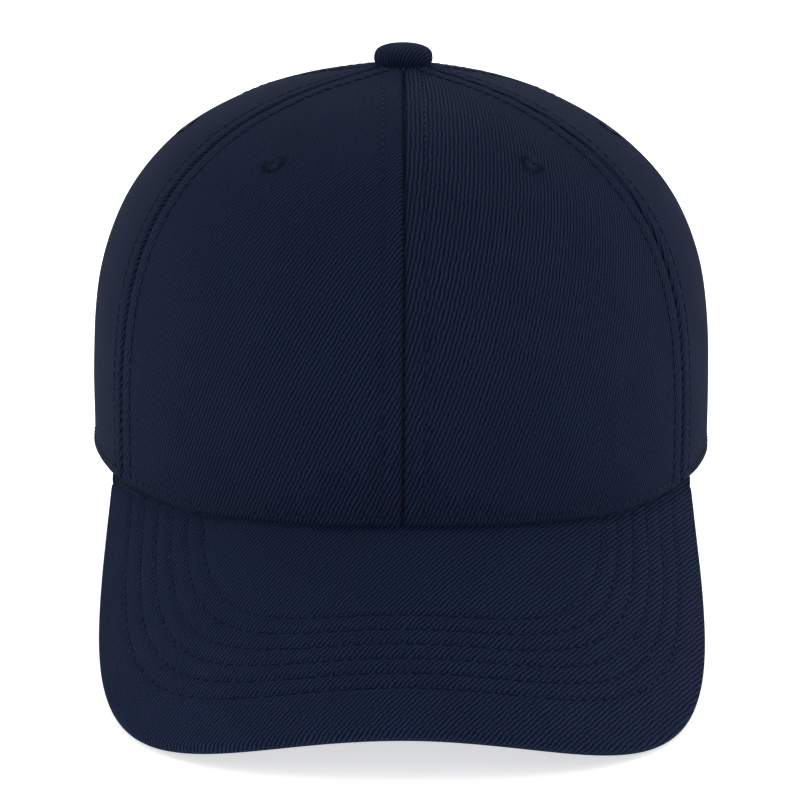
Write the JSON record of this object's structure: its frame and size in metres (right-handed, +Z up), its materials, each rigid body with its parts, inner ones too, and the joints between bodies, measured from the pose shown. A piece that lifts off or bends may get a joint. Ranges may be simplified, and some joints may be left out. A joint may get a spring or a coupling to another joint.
{
  "type": "baseball cap",
  "caption": "Baseball cap with a stiffened crown of sewn twill panels, a curved stitched visor, a covered button and a hook-and-loop back strap.",
  "frame": {"origin": "centre of the head opening, on the plane of the hem", "axes": "+Z up along the crown, -Y out of the front along the visor, +X towards the wearer's left"},
  "size_m": [0.1798, 0.2657, 0.1566],
  "materials": {
    "navy_twill": "cotton twill, matt",
    "navy_tape": "plain woven tape, matt",
    "navy_band": "plain woven cotton, matt",
    "navy_thread": "spun polyester thread, faint sheen",
    "white_buckram": "stiff open weave, matt",
    "band_core": "non-woven felt, matt",
    "white_label": "plain satin tape, blank",
    "button_metal": "pressed, satin",
    "board_plastic": "matt",
    "hook_nylon": "stiff nylon hooks",
    "loop_nylon": "brushed nylon loops"
  },
  "bodies": {
    "cap": {"front_left_panel": "navy_twill", "side_left_panel": "navy_twill", "rear_left_panel": "navy_twill", "front_right_panel": "navy_twill", "side_right_panel": "navy_twill", "rear_right_panel": "navy_twill", "front_left_buckram": "white_buckram", "front_right_buckram": "white_buckram", "seam_tape_centre": "navy_tape", "seam_tape_front_left": "navy_tape", "seam_tape_rear_left": "navy_tape", "seam_tape_front_right": "navy_tape", "seam_tape_rear_right": "navy_tape", "sweatband_core": "band_core", "sweatband_face": "navy_band", "care_label": "white_label", "crown_topstitching": "navy_thread", "hem_stitching": "navy_thread", "eyelet_front_left": "navy_thread", "eyelet_side_left": "navy_thread", "eyelet_rear_left": "navy_thread", "eyelet_front_right": "navy_thread", "eyelet_side_right": "navy_thread", "eyelet_rear_right": "navy_thread", "button_cover": "navy_twill", "button_shell": "button_metal", "button_washer": "button_metal", "button_prong": "button_metal", "visor_top_cover": "navy_twill", "visor_board": "board_plastic", "visor_under_cover": "navy_twill", "visor_stitching": "navy_thread", "rear_opening_binding": "navy_tape", "closure_strap_outer_root": "navy_twill", "closure_strap_inner_root": "navy_twill"},
    "outer_strap": {"closure_strap_outer": "navy_twill", "hook_pad": "hook_nylon"},
    "inner_strap": {"closure_strap_inner": "navy_twill", "loop_pad": "loop_nylon"}
  },
  "joints": [
    {"name": "outer_strap_peel", "type": "hinge", "parent": "cap", "child": "outer_strap", "pos_m": [0.03512, 0.09165, 0.0135], "axis": [0, 0, -1], "range_deg": [0, 100]},
    {"name": "inner_strap_fold", "type": "hinge", "parent": "cap", "child": "inner_strap", "pos_m": [-0.03512, 0.09165, 0.0135], "axis": [0, 0, -1], "range_deg": [0, 55]}
  ]
}
